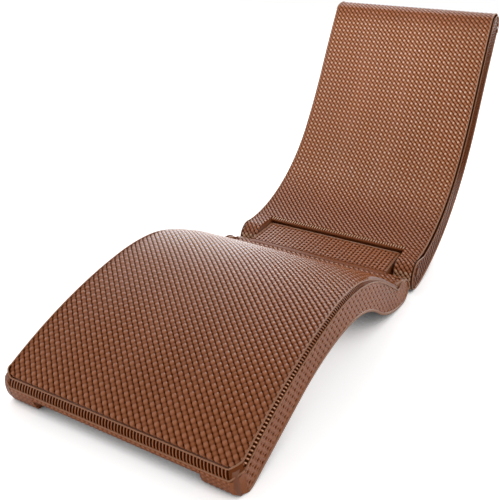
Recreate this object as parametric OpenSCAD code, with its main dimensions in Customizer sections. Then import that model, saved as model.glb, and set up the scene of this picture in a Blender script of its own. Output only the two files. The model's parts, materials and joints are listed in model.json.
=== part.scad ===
// Folding moulded lounger: a hollow leg rest and a hollow back rest on two hinge pins

/* [Overall] */
// Overall width over the side beads
width = 610; // [520:5:700]
// Length of the leg rest, from its foot to the seat
leg_l = 1000; // [850:10:1150]
// Height of the front face above the foot
front_h = 70; // [60:1:84]
// Length of the back rest along its woven face
back_l = 1000; // [850:10:1150]
// Radius of the round noses at the foot of the back rest
nose_r = 49; // [44:1:58]

/* [Shell] */
// Wall of the hollow mouldings
wall = 5; // [3:0.5:6]
// Drop of the side rim below the woven deck
rim_step = 14; // [8:1:18]
// How far the lower side bead stands out past the deck
rim_out = 5.5; // [3:0.5:8]
// Plan radius of the foot and head corners
corner_r = 22; // [14:1:34]

/* [Feet] */
// Width of each foot bulge at the front
foot_w = 90; // [70:1:120]
// Height of the front edge between the foot bulges
foot_gap_h = 30; // [20:1:36]
// Diameter of a rubber pad
pad_d = 24; // [20:1:27]
// Thickness of a rubber pad
pad_t = 6; // [5:0.5:8]
// How far a pad stands proud of the moulding
pad_proud = 2; // [1:0.5:3]

/* [Hinge] */
// Width of each ear of the back rest
ear_w = 65; // [55:1:80]
// Gap between an ear and the side of the seat tongue
side_gap = 7; // [4:0.5:9]
// Distance from the end of the leg rest to the hinge axis
tongue_l = 121; // [112:1:135]
// Gap round the end of the tongue
notch_gap = 11; // [8:0.5:12]
// Diameter of a hinge pin
pin_d = 12; // [9:0.5:14]
// Diameter of a pin head
head_d = 22; // [19:0.5:24]
// Diameter of a cap recess
cap_d = 26; // [25:0.5:30]
// Outer diameter of a bush
bush_d = 20; // [17:0.5:22]
// Length of a bush inside its moulding
bush_l = 26; // [18:1:32]

/* [Plugs] */
// Diameter of a drain plug's body
plug_d = 40; // [30:1:46]
// Diameter of a drain plug's flange
flange_d = 54; // [50:1:60]

/* [Hidden] */
$fn = 48;
over = 1;
run_fit = 0.05;
seat_gap = 0.3;
turn_step = 5;

half = width / 2;
deck_half = half - rim_out;

// Outlines are chains of tangent arcs: each row is a run, as a share of a length, and a turn
front_heading = -105;
front_shares = [[0.94, 50], [0.225, 55]];
deck_heading = 30.8;
deck_shares = [[0.428, -20.6], [0.381, -38.6], [0.144, -1.4], [0.08, 37]];
under_shares = [[0.016, 22.4], [0.202, 0], [0.284, -23.4], [0.223, -31.4], [0.22, 28.7], [0.026, 3.7]];
back_heading = 2;
back_shares = [[0.097, 13.4], [0.415, 42.5], [0.242, 8.5], [0.243, -3.9]];
rear_shares = [[0.028, 0], [0.014, 9.4], [0.352, 28.1], [0.385, 28.9], [0.333, -3.7]];

// The head's curl over the top, as shares of the back rest's thickness there
head_shares = [[0.036, -6], [0.18, -36], [0.27, -12], [0.22, -17], [0.4, -60], [0.144, -20], [0.265, -29]];

// Flat under the foot, knobs beside the seat and the tongue's end
foot_flat = 22;
foot_gap_share = 0.15;
knob_w = 18;
knob_r = 46;
knob_back = 9;
knob_flat = 38;
tongue_edge = 44;
nose_back = 9;
nose_drop = 7;
lip_t = 6;
lip_gap = 2;
lip_reach = 24;

// Hinge details
boss_wall = 7;
hinge_boss_d = cap_d + 2 * boss_wall;
recess_h = 10;
head_h = 4;
cap_h = 5;
flange_t = (side_gap - seat_gap) / 2;
bush_rim = 5;
bush_flange_d = bush_d + 2 * bush_rim;
boss_floor = 8;

// Pads, their screws and their bosses
front_pad_inset = 70;
pad_boss_wall = 5;
pad_boss_d = pad_d + 2 * pad_boss_wall;
pad_boss_h = 28;
screw_d = 4;
screw_l = 18;
screw_head_d = 8.5;
screw_head_h = 3;
screw_pocket_h = 3.5;

// Plugs and their necks
plug_sink = 7;
plug_flange_h = 4;
seal_h = 2;
seal_wall = 5;
plug_l = 20;
neck_l = 12;
neck_wall = 7;
slot_l = 26;
slot_w = 5;
slot_h = 2;

// Chord of an arc with this run and turn, and the place that it leads to
function chord(run, turn) = turn == 0 ? run : run * 360 * sin(turn / 2) / (PI * turn);
function ahead(p, heading, run, turn) =
    p + chord(run, turn) * [cos(heading + turn / 2), sin(heading + turn / 2)];

// Place and heading at the end of each row
function stations(p, heading, rows, i = 0) =
    i == len(rows) ? [[p, heading]]
    : concat([[p, heading]],
        stations(ahead(p, heading, rows[i][0], rows[i][1]), heading + rows[i][1], rows, i + 1));
function last(list) = list[len(list) - 1];

// Points along the rows, a turn_step apart on the arcs
function steps(turn) = max(1, ceil(abs(turn) / turn_step));
function path(p, heading, rows) =
    let (ends = stations(p, heading, rows))
    concat(
        [for (i = [0:len(rows) - 1], k = [0:steps(rows[i][1]) - 1])
            let (part = k / steps(rows[i][1]))
            ahead(ends[i][0], ends[i][1], rows[i][0] * part, rows[i][1] * part)],
        [last(ends)[0]]);

// Rows in lengths, and the rows of a path that runs beside another, to its left
function rows_of(shares, length) = [for (s = shares) [s[0] * length, s[1]]];
function beside(rows, d) = [for (r = rows) [r[0] - d * r[1] * PI / 180, r[1]]];
function left_of(p, heading, d) = p + d * [-sin(heading), cos(heading)];
function path_beside(p, heading, rows, d) =
    path(left_of(p, heading, d), heading, beside(rows, d));

// Points of an arc about a centre
function arc(c, r, from, to) =
    let (n = steps(to - from))
    [for (k = [0:n]) c + r * [cos(from + (to - from) * k / n), sin(from + (to - from) * k / n)]];
function backwards(list) = [for (i = [len(list) - 1:-1:0]) list[i]];

// Leg rest: the foot's bottom is the start, and the front edge stands over it
front_rows = rows_of(front_shares, front_h);
under_rows = concat(front_rows, [[foot_flat, 0]], rows_of(under_shares, leg_l));
deck_rows = rows_of(deck_shares, leg_l);
front_edge = [0, pad_proud] - last(stations([0, 0], front_heading, front_rows))[0];
deck_end = last(stations(front_edge, deck_heading, deck_rows))[0];
under_end = last(stations(front_edge, front_heading, under_rows))[0];
rear_r = (deck_end[1] - under_end[1]) / 2;
high = leg_l;

// Hinge axis, over the floor by the nose and behind the leg rest by the tongue
axis = [under_end[0] + tongue_l, pad_proud + nose_r + nose_drop];
nose = axis - [nose_back, nose_drop];
lip_top = pad_proud + lip_gap + lip_t;
tongue_r = axis[1] - lip_top - seat_gap;
notch_r = tongue_r + notch_gap;
tongue_half = half - ear_w - side_gap;
ear_inner = half - ear_w;

// Back rest: both faces start at the nose
back_rows = rows_of(back_shares, back_l);
rear_rows = rows_of(rear_shares, back_l);
back_top = nose + [0, nose_r];
back_low = nose - [0, nose_r];
head_heading = last(stations(back_top, back_heading, back_rows))[1];

// Outline below the deck, sunk by a depth, and outline inside the front, underside and rear end
function below_deck(sink) = concat(
    path_beside(front_edge, deck_heading, deck_rows, -sink),
    [[axis[0], deck_end[1] - sink], [axis[0], -high], [-high, -high], [-high, front_edge[1] - high / 2]]);
function inside_under(depth) = concat(
    path_beside(front_edge, front_heading, concat(under_rows, [[PI * rear_r, 180]]), depth),
    [[under_end[0], high], [front_edge[0] + depth, high]]);

// Outline of the back rest, with its face sunk and its other sides set in
function back_outline(sink, depth) =
    let (rear = path_beside(back_low, 0, rear_rows, depth),
        face = path_beside(back_top, back_heading, back_rows, -sink),
        curl = rows_of(head_shares, norm(last(rear) - last(face))))
    concat(
        rear, backwards(path(last(face), head_heading, curl)), backwards(face),
        arc(nose, nose_r - depth, 90, 270));

// Outline of the seat tongue, set in by a depth
function tongue_outline(depth) =
    let (r = tongue_r - depth)
    concat(
        [[under_end[0] - rear_r / 2, axis[1] - r], [under_end[0] - rear_r / 2, deck_end[1] - depth]],
        arc(axis, r, tongue_edge, -90));

// The frame's origin is under the middle of the whole lounger
back_points = back_outline(0, 0);
under_points = path(front_edge, front_heading, under_rows);
front_x = min([for (p = under_points) p[0]]);
head_x = max([for (p = back_points) p[0]]);
mid_x = (front_x + head_x) / 2;
head_face = last(path(back_top, back_heading, back_rows));
head_rear = last(path(back_low, 0, rear_rows));
head_mid = (head_face + head_rear) / 2;
head_r = norm(head_face - head_rear) / 2;

// Places of the pads and plugs
front_pad_y = half - front_pad_inset;
ear_mid = half - ear_w / 2;
front_pad_x = foot_flat / 2;
seat_pad_x = under_end[0] - pad_d / 2;
back_pad_x = nose[0] + rear_rows[0][0] / 2;
leg_plug_at = stations(front_edge, front_heading, under_rows)[6];
back_plug_at = stations(back_low, 0, rear_rows)[3];

// Moves a shape from the foot's own place to the frame
module placed() {
    translate([-mid_x, 0, 0]) children();
}

// A side outline drawn across the lounger
module slab(points, half_w) {
    rotate([90, 0, 0]) linear_extrude(2 * half_w, center = true) polygon(points);
}

// A round bar across the lounger between two distances from its middle; side is 1 or -1
module bar(at, d, from, to, side) {
    translate([at[0], side * from, at[1]])
        rotate([-90 * side, 0, 0])
            cylinder(d = d, h = to - from);
}

// What is cut from both plan corners of an end to round them
module corner_cuts(r, half_w, reach) {
    for (side = [0, 1])
        mirror([0, side, 0])
            translate([-r, half_w - r, -reach])
                difference() {
                    cube([r + over, r + over, 2 * reach]);
                    translate([0, 0, -over]) cylinder(r = r, h = 2 * reach + 2 * over);
                }
}

module foot_corners(depth) {
    translate([front_x + depth, 0, 0])
        mirror([1, 0, 0])
            corner_cuts(corner_r - depth, half - depth, high);
}

module head_corners(depth) {
    translate([head_mid[0], 0, head_mid[1]])
        rotate([0, -head_heading, 0])
            translate([head_r - depth, 0, 0])
                corner_cuts(corner_r - depth, half - depth, 2 * head_r);
}

// Leg rest body with its deck sunk and its sides set in
module leg_body(sink, depth, half_w) {
    intersection() {
        slab(below_deck(sink), half_w);
        slab(inside_under(depth), half_w + over);
    }
}

// The raised front edge between the foot bulges, as a space or as the moulding round it
module foot_gap(depth) {
    gap_half = half - foot_w + depth;
    translate([-high, -gap_half, -high])
        cube([high + leg_l * foot_gap_share, 2 * gap_half, high + pad_proud + foot_gap_h + depth]);
}

// Bosses that hold the pad screws
module pad_boss(x, y) {
    for (side = [-1, 1])
        translate([x, side * y, 0])
            cylinder(d = pad_boss_d, h = pad_proud + pad_boss_h);
}

// Pad recess and screw hole
module pad_cut(x, y) {
    for (side = [-1, 1])
        translate([x, side * y, 0]) {
            translate([0, 0, -over]) cylinder(d = pad_d + 2 * seat_gap, h = pad_t + over);
            cylinder(d = screw_d + 2 * run_fit, h = pad_t + screw_l);
        }
}

// Turns and moves a plug's parts: their Z points into the moulding
module at_plug(station) {
    translate([station[0][0], 0, station[0][1]])
        rotate([0, -station[1], 0])
            children();
}

module plug_neck(station) {
    at_plug(station)
        translate([0, 0, -plug_sink])
            cylinder(d = flange_d + 2 * neck_wall, h = 2 * plug_sink + neck_l);
}

module plug_cut(station) {
    at_plug(station) {
        translate([0, 0, -2 * plug_sink])
            cylinder(d = flange_d + 2 * seat_gap, h = 3 * plug_sink);
        cylinder(d = plug_d + 2 * run_fit, h = 2 * plug_sink + plug_l + neck_l);
    }
}

// A plug with a driver slot across its flange
module plug(station) {
    color("#3a2a20")
        placed()
            at_plug(station)
                translate([0, 0, plug_sink - seal_h - plug_flange_h])
                    difference() {
                        union() {
                            cylinder(d = flange_d, h = plug_flange_h);
                            cylinder(d = plug_d, h = plug_l);
                        }
                        translate([-slot_l / 2, -slot_w / 2, -over])
                            cube([slot_l, slot_w, slot_h + over]);
                    }
}

module plug_seal(station) {
    color("#151515")
        placed()
            at_plug(station)
                translate([0, 0, plug_sink - seal_h])
                    difference() {
                        cylinder(d = plug_d + 2 * seat_gap + 2 * seal_wall, h = seal_h);
                        translate([0, 0, -over])
                            cylinder(d = plug_d + 2 * seat_gap, h = seal_h + 2 * over);
                    }
}

// Hollow of the leg rest, with its bosses left standing
module leg_hollow() {
    difference() {
        union() {
            leg_body(wall, wall, deck_half - wall);
            leg_body(rim_step + wall, wall, half - wall);
            slab(tongue_outline(wall), tongue_half - wall);
        }
        foot_gap(wall);
        foot_corners(wall);
        pad_boss(front_pad_x, front_pad_y);
        pad_boss(seat_pad_x, ear_mid);
        plug_neck(leg_plug_at);
        for (side = [-1, 1])
            bar(axis, hinge_boss_d, tongue_half - bush_l - boss_floor, tongue_half, side);
    }
}

module leg_shell() {
    knob = [under_end[0] - knob_back, pad_proud + knob_r];
    color("#5b4434")
        placed()
            difference() {
                union() {
                    leg_body(0, 0, deck_half);
                    leg_body(rim_step, 0, half);
                    slab(tongue_outline(0), tongue_half);
                    for (side = [-1, 1])
                        bar(knob, 2 * knob_r, half - knob_w, half, side);
                    for (side = [0, 1])
                        mirror([0, side, 0])
                            translate([knob[0] - knob_flat, half - knob_w, knob[1]])
                                cube([knob_flat, knob_w, knob_r]);
                }
                leg_hollow();
                foot_gap(0);
                foot_corners(0);
                pad_cut(front_pad_x, front_pad_y);
                pad_cut(seat_pad_x, ear_mid);
                plug_cut(leg_plug_at);
                for (side = [-1, 1])
                    bar(axis, bush_d + 2 * run_fit, tongue_half - bush_l, tongue_half + over, side);
            }
}

// Space that the tongue turns in, as a cut or as the moulding round it
module notch(depth) {
    lip_x = axis[0] + sqrt(pow(notch_r, 2) - pow(axis[1] - lip_top, 2));
    slab(arc(axis, notch_r + depth, 0, 355), ear_inner + depth);
    translate([axis[0] - 2 * nose_r, -ear_inner - depth, -over])
        cube([lip_x - axis[0] + 2 * nose_r, 2 * (ear_inner + depth), axis[1] + nose_r]);
}

// Hollow of the back rest, with its bosses left standing
module back_hollow() {
    difference() {
        union() {
            slab(back_outline(wall, wall), deck_half - wall);
            slab(back_outline(rim_step + wall, wall), half - wall);
        }
        notch(wall);
        head_corners(wall);
        pad_boss(back_pad_x, ear_mid);
        plug_neck(back_plug_at);
        for (side = [-1, 1])
            bar(axis, hinge_boss_d, ear_inner, half, side);
    }
}

// Lip under the tongue that stops the back rest from falling backwards
module stop_lip() {
    lip_end = axis[0] + sqrt(pow(notch_r, 2) - pow(axis[1] - lip_top, 2)) + wall;
    translate([axis[0] - lip_reach, -ear_inner - over, lip_top - lip_t])
        cube([lip_end - axis[0] + lip_reach, 2 * (ear_inner + over), lip_t]);
}

module back_shell() {
    color("#5b4434")
        placed()
            difference() {
                union() {
                    difference() {
                        union() {
                            slab(back_outline(0, 0), deck_half);
                            slab(back_outline(rim_step, 0), half);
                        }
                        back_hollow();
                        notch(0);
                        head_corners(0);
                    }
                    stop_lip();
                }
                pad_cut(back_pad_x, ear_mid);
                plug_cut(back_plug_at);
                for (side = [-1, 1]) {
                    bar(axis, cap_d, half - recess_h, half + over, side);
                    bar(axis, bush_d + 2 * run_fit, ear_inner - over, ear_inner + bush_l, side);
                    bar(axis, pin_d + 2 * run_fit, ear_inner, half, side);
                }
            }
}

// Steel pin: its head seats in the ear's recess and its end turns in the tongue's bush
module hinge_pin(side) {
    color("#b9bcc0")
        placed() {
            bar(axis, head_d, half - recess_h, half - recess_h + head_h, side);
            bar(axis, pin_d, tongue_half - bush_l + over, half - recess_h, side);
        }
}

module pin_cap(side) {
    color("#4a3629")
        placed()
            bar(axis, cap_d - 2 * run_fit, half - recess_h + head_h, half - recess_h + head_h + cap_h, side);
}

// Flanged bush; the flange faces the gap between ear and tongue
module bush(from, to, flange_from, side) {
    color("#e9e6dc")
        placed()
            difference() {
                union() {
                    bar(axis, bush_d, from, to, side);
                    bar(axis, bush_flange_d, flange_from, flange_from + flange_t, side);
                }
                bar(axis, pin_d + 2 * run_fit, tongue_half - bush_l - over, half, side);
            }
}

module ear_bush(side) {
    bush(ear_inner - flange_t, ear_inner + bush_l, ear_inner - flange_t, side);
}

module tongue_bush(side) {
    bush(tongue_half - bush_l, tongue_half + flange_t, tongue_half, side);
}

module pad(x, y, side) {
    color("#1c1c1c")
        placed()
            translate([x, side * y, 0])
                difference() {
                    cylinder(d = pad_d, h = pad_t);
                    translate([0, 0, -over]) cylinder(d = screw_head_d + 2 * seat_gap, h = screw_pocket_h + over);
                    cylinder(d = screw_d + 2 * run_fit, h = pad_t + over);
                }
}

module pad_screws(x, y) {
    color("#b9bcc0")
        placed()
            for (side = [-1, 1])
                translate([x, side * y, screw_pocket_h]) {
                    translate([0, 0, -screw_head_h]) cylinder(d = screw_head_d, h = screw_head_h);
                    cylinder(d = screw_d, h = screw_l);
                }
}

leg_shell();
back_shell();
hinge_pin(-1);  // hinge_pin_right
hinge_pin(1);  // hinge_pin_left
pin_cap(-1);  // pin_cap_right
pin_cap(1);  // pin_cap_left
ear_bush(-1);  // ear_bush_right
ear_bush(1);  // ear_bush_left
tongue_bush(-1);  // tongue_bush_right
tongue_bush(1);  // tongue_bush_left
pad(front_pad_x, front_pad_y, -1);  // front_pad_right
pad(front_pad_x, front_pad_y, 1);  // front_pad_left
pad(seat_pad_x, ear_mid, -1);  // seat_pad_right
pad(seat_pad_x, ear_mid, 1);  // seat_pad_left
pad(back_pad_x, ear_mid, -1);  // back_pad_right
pad(back_pad_x, ear_mid, 1);  // back_pad_left
pad_screws(front_pad_x, front_pad_y);  // front_pad_screws
pad_screws(seat_pad_x, ear_mid);  // seat_pad_screws
pad_screws(back_pad_x, ear_mid);  // back_pad_screws
plug(leg_plug_at);  // leg_plug
plug_seal(leg_plug_at);  // leg_plug_seal
plug(back_plug_at);  // back_plug
plug_seal(back_plug_at);  // back_plug_seal
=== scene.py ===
# %% [markdown]
# A folding moulded lounger.
# The real one is two hollow polyethylene mouldings, an arched leg rest and a curved back rest, that
# turn on two pins. The mould gives every face a woven look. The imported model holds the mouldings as
# plain solids, so each visible face is made here as a skin with the weave in its geometry.

# %% The frame
import json
import math

import bmesh
import bpy
import numpy as np
from mathutils import Matrix, Vector


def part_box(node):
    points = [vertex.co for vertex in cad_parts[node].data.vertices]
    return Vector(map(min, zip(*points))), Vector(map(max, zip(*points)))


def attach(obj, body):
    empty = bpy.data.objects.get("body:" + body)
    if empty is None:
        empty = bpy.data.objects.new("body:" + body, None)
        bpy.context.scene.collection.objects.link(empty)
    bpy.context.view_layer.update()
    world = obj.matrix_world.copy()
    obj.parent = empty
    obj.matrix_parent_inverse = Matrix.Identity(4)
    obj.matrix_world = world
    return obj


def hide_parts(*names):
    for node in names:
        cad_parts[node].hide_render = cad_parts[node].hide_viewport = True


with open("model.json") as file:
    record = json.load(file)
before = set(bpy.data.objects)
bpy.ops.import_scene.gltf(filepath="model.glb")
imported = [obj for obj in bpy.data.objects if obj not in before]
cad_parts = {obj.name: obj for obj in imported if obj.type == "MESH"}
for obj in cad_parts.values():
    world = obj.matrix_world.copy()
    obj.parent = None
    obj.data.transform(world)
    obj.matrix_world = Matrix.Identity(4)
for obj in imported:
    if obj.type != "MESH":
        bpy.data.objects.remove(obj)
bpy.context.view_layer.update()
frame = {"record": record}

# %% [markdown]
# Sizes.
# Sizes are in millimetres, as on a drawing, with angles in degrees. The headings and the shares describe
# the side view: a row of shares is a run along the curve, as a share of the moulding's length, and a
# turn. Shares keep the shape when a length changes.

# %% Sizes
MM = 0.001
WIDTH = 610.0
HALF = WIDTH / 2
LEG_L = 1000.0
BACK_L = 1000.0
# Foot end and rims
FRONT_H = 70.0
RIM_STEP = 14.0
RIM_OUT = 5.5
CORNER_R = 22.0
PAD_PROUD = 2.0
FOOT_FLAT = 22.0
FOOT_W = 90.0
FOOT_GAP_H = 30.0
# Seat tongue, knobs, and the ears with their round noses
TONGUE_L = 121.0
TONGUE_EDGE = 44.0
KNOB_W = 18.0
EAR_W = 65.0
NOSE_R = 49.0
NOSE_BACK = 9.0
NOSE_DROP = 7.0
# Room for the fold, and the lip that stops it
SIDE_GAP = 7.0
NOTCH_GAP = 11.0
RUN_GAP = 0.3
LIP_H = 8.0
LIP_TOP = PAD_PROUD + LIP_H
# Places across
DECK_HALF = HALF - RIM_OUT
EAR_INNER = HALF - EAR_W
TONGUE_HALF = EAR_INNER - SIDE_GAP
# Side view
FRONT_HEADING = -105.0
DECK_HEADING = 30.8
BACK_HEADING = 2.0
FRONT_SHARES = ((0.94, 50), (0.225, 55))
DECK_SHARES = ((0.428, -20.6), (0.381, -38.6), (0.144, -1.4), (0.08, 37))
UNDER_SHARES = ((0.016, 22.4), (0.202, 0), (0.284, -23.4), (0.223, -31.4), (0.22, 28.7), (0.026, 3.7))
BACK_SHARES = ((0.097, 13.4), (0.415, 42.5), (0.242, 8.5), (0.243, -3.9))
REAR_SHARES = ((0.028, 0), (0.014, 9.4), (0.352, 28.1), (0.385, 28.9), (0.333, -3.7))
HEAD_SHARES = ((0.036, -6), (0.18, -36), (0.27, -12), (0.22, -17), (0.4, -60), (0.144, -20), (0.265, -29))
print("width", WIDTH, "mm, seat tongue", 2 * TONGUE_HALF, "mm")

# %% [markdown]
# The side view.
# Both mouldings are one curve carried across, so the side view is nearly the whole shape. It is drawn
# with chains of tangent arcs, the way a pattern maker lays out a curve. A Bezier curve would do too, but
# arcs give an exact length, on which the weave is counted, and the frame says where the front lies.

# %% Side lines


def rows_of(shares, length):
    """Rows of run and turn in millimetres and degrees."""
    return [(share * length, turn) for share, turn in shares]


class Path:
    """A chain of tangent arcs in the side view, read at any distance along it."""

    def __init__(self, start, heading, rows):
        self.runs = np.array([run for run, turn in rows])
        self.turns = np.radians([turn for run, turn in rows])
        self.ends = np.concatenate([[0.0], np.cumsum(self.runs)])
        self.headings = math.radians(heading) + np.concatenate([[0.0], np.cumsum(self.turns)])
        self.points = np.zeros((len(rows) + 1, 2))
        self.points[0] = start
        for i, (run, turn) in enumerate(zip(self.runs, self.turns)):
            self.points[i + 1] = self.points[i] + self.chord(run, turn, self.headings[i])
        self.length = self.ends[-1]
        self.end = self.points[-1]

    @staticmethod
    def chord(run, turn, heading):
        """Step from an arc's start to its end."""
        middle = heading + turn / 2
        return (run * np.sinc(turn / (2 * math.pi)) * np.array([np.cos(middle), np.sin(middle)])).T

    def at(self, s):
        """Points and left-hand normals at these distances; straight on past both ends."""
        s = np.asarray(s, float)
        i = np.clip(np.searchsorted(self.ends, s, side="right") - 1, 0, len(self.runs) - 1)
        ahead = s - self.ends[i]
        inside = (s >= 0) & (s <= self.length)
        turn = np.where(inside, ahead / self.runs[i] * self.turns[i], 0.0)
        base, heading = self.points[i], self.headings[i]
        past = s > self.length
        base = np.where(past[..., None], self.end, base)
        heading = np.where(past, self.headings[-1], heading)
        ahead = np.where(past, s - self.length, ahead)
        points = base + self.chord(ahead, turn, heading)
        heading = heading + turn
        return points, np.stack([-np.sin(heading), np.cos(heading)], -1)

    def beside(self, s, left):
        """Points at these distances, set off to the left of the line, or to its right if negative."""
        points, normals = self.at(s)
        return points + normals * np.asarray(left, float)[..., None]


front_rows = rows_of(FRONT_SHARES, FRONT_H)
front_edge = np.array([0.0, PAD_PROUD]) - Path((0, 0), FRONT_HEADING, front_rows).end
under = Path(front_edge, FRONT_HEADING, front_rows + [(FOOT_FLAT, 0)] + rows_of(UNDER_SHARES, LEG_L))
deck = Path(front_edge, DECK_HEADING, rows_of(DECK_SHARES, LEG_L))
rear_r = (deck.end[1] - under.end[1]) / 2
axis = np.array([under.end[0] + TONGUE_L, PAD_PROUD + NOSE_R + NOSE_DROP])
nose = axis - np.array([NOSE_BACK, NOSE_DROP])
tongue_r = axis[1] - LIP_TOP - RUN_GAP
notch_r = tongue_r + NOTCH_GAP
front_x = under.at(np.arange(0, FRONT_H))[0][:, 0].min()
ORIGIN_X = front_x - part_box("leg_shell")[0].x / MM
print("hinge axis", axis.round(1), "origin", round(float(ORIGIN_X), 1))

# %% [markdown]
# The plastic.
# The real finish is rotationally moulded HDPE, a satin brown plastic with an IOR of about 1.54. Its woven
# faces are fairly smooth, with a roughness near 0.24, and the plain ones are duller. Pits between the
# strands hold dust and lie in shadow, so the relief's height is kept on each point as an attribute. A ramp
# of four colours reads it: painted shade in the dark pit, then the strand, the paler hump and a painted
# highlight at the top. The specular level follows it too, because only the humps shine. The mould's grain
# is finer than a millimetre in fact, and is drawn at 2.5 mm so that it shows.

# %% Materials


def linear(hex_colour):
    """sRGB hex to the linear colour that the shader wants."""
    parts = [int(hex_colour[i:i + 2], 16) / 255 for i in (1, 3, 5)]
    return [c / 12.92 if c <= 0.04045 else ((c + 0.055) / 1.055) ** 2.4 for c in parts] + [1.0]


def add(tree, kind, settings=(), links=()):
    """A node with its settings and what feeds it."""
    made = tree.nodes.new(kind)
    for name, value in dict(settings).items():
        if hasattr(made, name):
            setattr(made, name, value)
        else:
            made.inputs[name].default_value = value
    for name, source in dict(links).items():
        tree.links.new(source, made.inputs[name])
    return made


def new_material(name):
    """An empty material and its node tree."""
    material = bpy.data.materials.new(name)
    material.use_nodes = True
    material.node_tree.nodes.clear()
    return material, material.node_tree


def close_with(tree, shader):
    """Feeds the finished shader to the material's output."""
    add(tree, "ShaderNodeOutputMaterial", links={"Surface": shader.outputs[0]})


def fill_ramp(ramp, stops):
    """Gives a colour ramp its stops of position and colour."""
    elements = ramp.color_ramp.elements
    for position, colour in stops[1:-1]:
        elements.new(position)
    for element, (position, colour) in zip(elements, stops):
        element.position, element.color = position, colour


# The pit colour is painted shade, and the top colour is a painted highlight.
PIT_SHADE_HEX, STRAND_HEX, HUMP_HEX, TOP_HIGHLIGHT_HEX = "#341504", "#783e19", "#a46139", "#c49c76"
# Beads and knobs are painted paler than the strands: a painted highlight.
BEAD_HIGHLIGHT_HEX = "#93603f"
SHADE_STOPS = ((0.10, PIT_SHADE_HEX), (0.45, STRAND_HEX), (0.8, HUMP_HEX), (1.0, TOP_HIGHLIGHT_HEX))
SHINE_FROM, SHINE_TO, SHINE_MAX = 0.3, 1.0, 0.85
HDPE_IOR = 1.54
CLOUD_MM, GRAIN_MM, GRAIN_DEPTH_MM, GRAIN_BUMP = 180.0, 2.5, 0.3, 0.12
TONE_SPREAD, ROUGH_SPREAD = 0.1, 0.05


def moulded_hdpe(name, roughness=0.24, plain_hex=None):
    """Brown polyethylene in one colour, or with painted shade in matt pits and painted light on shinier
    humps.
    """
    from_relief = plain_hex is None
    material, tree = new_material(name)
    place = add(tree, "ShaderNodeTexCoord")
    cloud = add(tree, "ShaderNodeTexNoise", {"Scale": 1 / (CLOUD_MM * MM), "Detail": 3.0, "Roughness": 0.6},
                {"Vector": place.outputs["Object"]})
    grain = add(tree, "ShaderNodeTexNoise", {"Scale": 1 / (GRAIN_MM * MM), "Detail": 2.0},
                {"Vector": place.outputs["Object"]})
    if from_relief:
        height = add(tree, "ShaderNodeAttribute", {"attribute_name": "relief"})
        ramp = add(tree, "ShaderNodeValToRGB", links={"Fac": height.outputs["Fac"]})
        fill_ramp(ramp, [(position, linear(colour_hex)) for position, colour_hex in SHADE_STOPS])
        colour = ramp.outputs["Color"]
        shine = add(tree, "ShaderNodeMapRange",
                    {"From Min": SHINE_FROM, "From Max": SHINE_TO, "To Min": 0.0, "To Max": SHINE_MAX},
                    {"Value": height.outputs["Fac"]})
    else:
        plain = add(tree, "ShaderNodeRGB")
        plain.outputs[0].default_value = linear(plain_hex)
        colour = plain.outputs[0]
    value = add(tree, "ShaderNodeMapRange", {"To Min": 1 - TONE_SPREAD, "To Max": 1 + TONE_SPREAD},
                {"Value": cloud.outputs["Fac"]})
    varied = add(tree, "ShaderNodeHueSaturation", links={"Color": colour, "Value": value.outputs[0]})
    rough = add(tree, "ShaderNodeMapRange",
                {"To Min": roughness - ROUGH_SPREAD, "To Max": roughness + ROUGH_SPREAD},
                {"Value": grain.outputs["Fac"]})
    bump = add(tree, "ShaderNodeBump", {"Strength": GRAIN_BUMP, "Distance": GRAIN_DEPTH_MM * MM},
               {"Height": grain.outputs["Fac"]})
    shader = add(tree, "ShaderNodeBsdfPrincipled", {"IOR": HDPE_IOR},
                 {"Base Color": varied.outputs["Color"], "Roughness": rough.outputs[0],
                  "Normal": bump.outputs["Normal"]})
    if from_relief:
        tree.links.new(shine.outputs[0], shader.inputs["Specular IOR Level"])
    close_with(tree, shader)
    return material


# Woven faces: matt pits darkened by painted shade, and paler humps that shine, topped by a painted highlight.
woven_hdpe = moulded_hdpe("woven_hdpe")
# Plain faces: an even, duller brown.
smooth_hdpe = moulded_hdpe("smooth_hdpe", roughness=0.42, plain_hex=STRAND_HEX)
# Beads and knobs: painted paler, a painted highlight for the light they catch, with a soft line of light.
bead_hdpe = moulded_hdpe("rubbed_bead_hdpe", roughness=0.38, plain_hex=BEAD_HIGHLIGHT_HEX)
print("materials", woven_hdpe.name, smooth_hdpe.name, bead_hdpe.name)

# %% [markdown]
# The weave.
# A weave is strands that pass over and under each other in turn. Its height can be written down: each
# strand is a flat-topped bar whose middle rises over one crossing and dips under the next, and the
# higher of the two strands shows. The side walls have a plainer relief, staggered pits in a flat face,
# and the rims have short ribs.

# %% Weave heights
LATTICE_LONG, LATTICE_WIDE = 16.7, 16.5
WEAVE_RISE, WEAVE_ROUND, WARP_LEAD, WEAVE_FLAT = 1.0, 2.4, 0.6, 4
LINE_CUT, LINE_SHARP = 1.2, 6
WEAVE_SHADES = (-1.7, 2.43)
FINE = 8.0
STEP = LATTICE_LONG / FINE
RIB_STEP = 1.05
LONG_RIB_STEP = RIB_STEP
BEAD_STEP = 6.0


def plain_weave(a, b, rise=WEAVE_RISE, crown=WEAVE_ROUND, lead=WARP_LEAD):
    """Height in mm of a plain weave; a and b count strands, and the strands along b lie a little higher."""
    fa, fb = a - np.floor(a) - 0.5, b - np.floor(b) - 0.5
    over = np.where((np.floor(a) + np.floor(b)) % 2 == 0, 1.0, -1.0)
    warp = over * rise * np.cos(math.pi * fb) - crown * np.abs(2 * fa) ** WEAVE_FLAT + lead
    weft = -over * rise * np.cos(math.pi * fa) - crown * np.abs(2 * fb) ** WEAVE_FLAT
    return np.maximum(warp, weft)


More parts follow.
